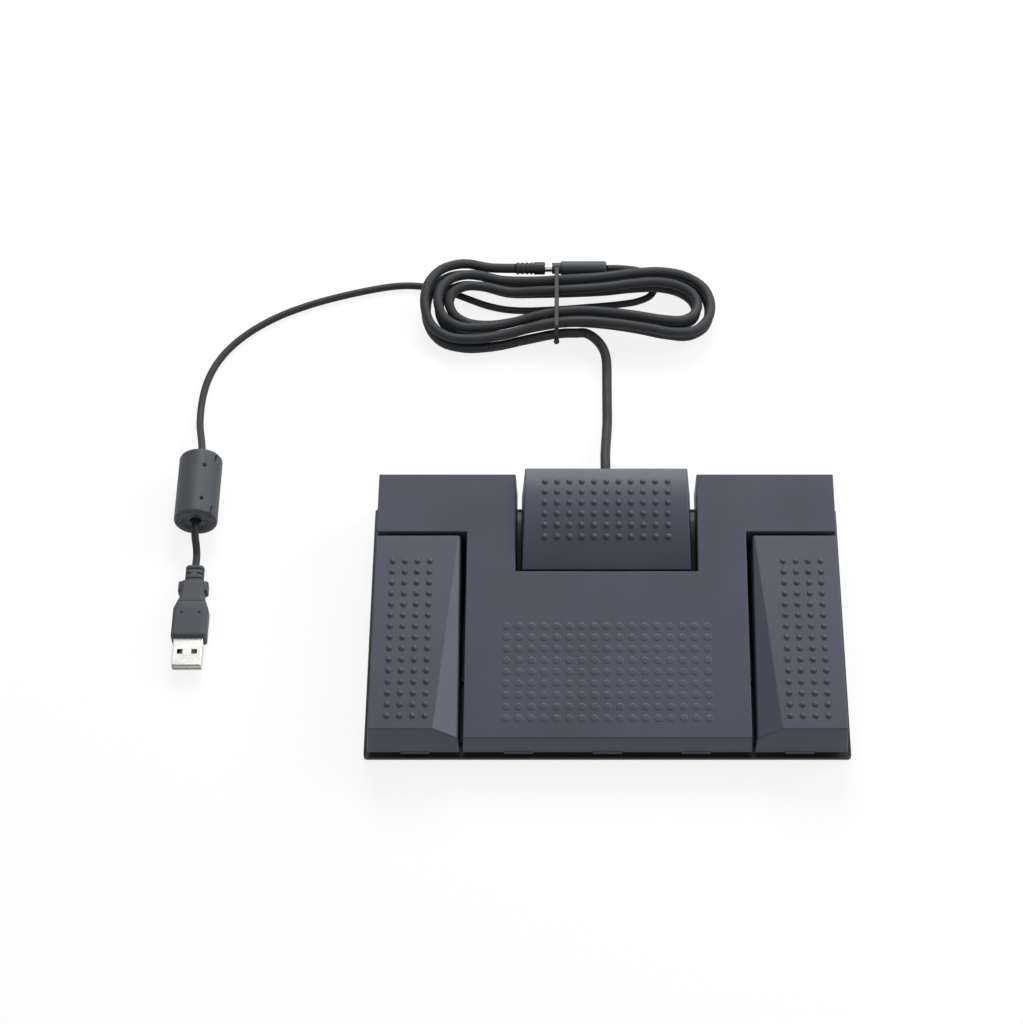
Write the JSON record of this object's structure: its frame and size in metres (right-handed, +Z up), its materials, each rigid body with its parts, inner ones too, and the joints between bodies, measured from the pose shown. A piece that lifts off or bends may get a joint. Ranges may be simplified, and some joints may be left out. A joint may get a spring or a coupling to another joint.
{
  "type": "foot pedal switch",
  "caption": "Low foot control with hinged sprung pedals: a T-shaped centre plate, studded side pedals and a top pedal, on a tray, with its lead tied in a hank to a ferrite and a plug.",
  "frame": {"origin": "bottom centre of the pedal unit, on the floor, midway across the base tray", "axes": "+X to the user's right, +Y away from the user towards the lead's exit, +Z up"},
  "size_m": [0.2752, 0.2457, 0.0341],
  "materials": {
    "shell_plastic": "fine-grained moulded plastic",
    "tray_paint": "satin black paint",
    "foot_rubber": "plain rubber",
    "chassis_plastic": "plain moulded plastic",
    "screw_steel": "plated",
    "pin_steel": "ground",
    "spring_steel": "drawn wire",
    "switch_plastic": "plain moulded plastic",
    "plunger_plastic": "plain",
    "board_laminate": "solder mask",
    "header_plastic": "plain moulded plastic",
    "wire_sleeve": "plain",
    "cord_sleeve": "soft satin sleeve",
    "tie_plastic": "thin band",
    "moulded_grey": "plain moulded plastic",
    "ferrite_ceramic": "plain",
    "bright_nickel": "bright plated",
    "contact_brass": "plated"
  },
  "bodies": {
    "base": {"base_tray": "tray_paint", "rubber_feet": "foot_rubber", "bump_stops": "foot_rubber", "chassis": "chassis_plastic", "cord_clamp": "chassis_plastic", "chassis_screws": "screw_steel", "board_screws": "screw_steel", "clamp_screws": "screw_steel", "left_hinge_pin": "pin_steel", "right_hinge_pin": "pin_steel", "centre_hinge_pin_left": "pin_steel", "centre_hinge_pin_right": "pin_steel", "top_hinge_pin": "pin_steel", "left_spring": "spring_steel", "right_spring": "spring_steel", "centre_spring_left": "spring_steel", "centre_spring_right": "spring_steel", "top_spring": "spring_steel", "left_switch": "switch_plastic", "right_switch": "switch_plastic", "centre_switch": "switch_plastic", "top_switch": "switch_plastic", "controller_chip": "switch_plastic", "main_board": "board_laminate", "cord_header": "header_plastic", "usb_tongue": "header_plastic", "wire_harness": "wire_sleeve", "inner_cord": "cord_sleeve", "main_lead": "cord_sleeve", "cord_hank": "cord_sleeve", "usb_lead": "cord_sleeve", "usb_tail": "cord_sleeve", "strain_relief": "cord_sleeve", "inline_plug": "cord_sleeve", "hank_tie": "tie_plastic", "inline_socket": "moulded_grey", "ferrite_case_upper": "moulded_grey", "ferrite_case_lower": "moulded_grey", "usb_plug_body": "moulded_grey", "ferrite_core": "ferrite_ceramic", "usb_shell": "bright_nickel", "inline_plug_pin": "bright_nickel", "usb_contacts": "contact_brass"},
    "left_pedal": {"left_pedal": "shell_plastic"},
    "right_pedal": {"right_pedal": "shell_plastic"},
    "centre_pedal": {"centre_pedal": "shell_plastic"},
    "top_pedal": {"top_pedal": "shell_plastic"},
    "left_plunger": {"left_plunger": "plunger_plastic"},
    "right_plunger": {"right_plunger": "plunger_plastic"},
    "centre_plunger": {"centre_plunger": "plunger_plastic"},
    "top_plunger": {"top_plunger": "plunger_plastic"}
  },
  "joints": [
    {"name": "left_pedal_press", "type": "hinge", "parent": "base", "child": "left_pedal", "pos_m": [-0.07685, 0.0247, 0.015], "axis": [1, 0, 0], "range_deg": [0, 1.6], "stiffness_Nm_per_rad": 9, "springref_deg": -2.58, "deforming": ["left_spring"]},
    {"name": "right_pedal_press", "type": "hinge", "parent": "base", "child": "right_pedal", "pos_m": [0.07685, 0.0247, 0.015], "axis": [1, 0, 0], "range_deg": [0, 1.6], "stiffness_Nm_per_rad": 9, "springref_deg": -2.58, "deforming": ["right_spring"]},
    {"name": "centre_pedal_press", "type": "hinge", "parent": "base", "child": "centre_pedal", "pos_m": [0, 0.04875, 0.015], "axis": [1, 0, 0], "range_deg": [0, 1.2], "stiffness_Nm_per_rad": 20, "springref_deg": -2.29, "deforming": ["centre_spring_left", "centre_spring_right"]},
    {"name": "top_pedal_press", "type": "hinge", "parent": "base", "child": "top_pedal", "pos_m": [0, 0.02395, 0.015], "axis": [-1, 0, 0], "range_deg": [0, 5], "stiffness_Nm_per_rad": 2.4, "springref_deg": -4.98, "deforming": ["top_spring"]},
    {"name": "left_plunger_slide", "type": "slide", "parent": "base", "child": "left_plunger", "axis": [0, 0, -1], "range_m": [0, 0.0016]},
    {"name": "right_plunger_slide", "type": "slide", "parent": "base", "child": "right_plunger", "axis": [0, 0, -1], "range_m": [0, 0.0016]},
    {"name": "centre_plunger_slide", "type": "slide", "parent": "base", "child": "centre_plunger", "axis": [0, 0, -1], "range_m": [0, 0.0022]},
    {"name": "top_plunger_slide", "type": "slide", "parent": "base", "child": "top_plunger", "axis": [0, 0, -1], "range_m": [0, 0.0022]}
  ],
  "couplings": [
    {"joint": "left_plunger_slide", "follows": "left_pedal_press", "m_per_rad": 0.0499},
    {"joint": "right_plunger_slide", "follows": "right_pedal_press", "m_per_rad": 0.0499},
    {"joint": "centre_plunger_slide", "follows": "centre_pedal_press", "m_per_rad": 0.0917},
    {"joint": "top_plunger_slide", "follows": "top_pedal_press", "m_per_rad": 0.0221}
  ]
}
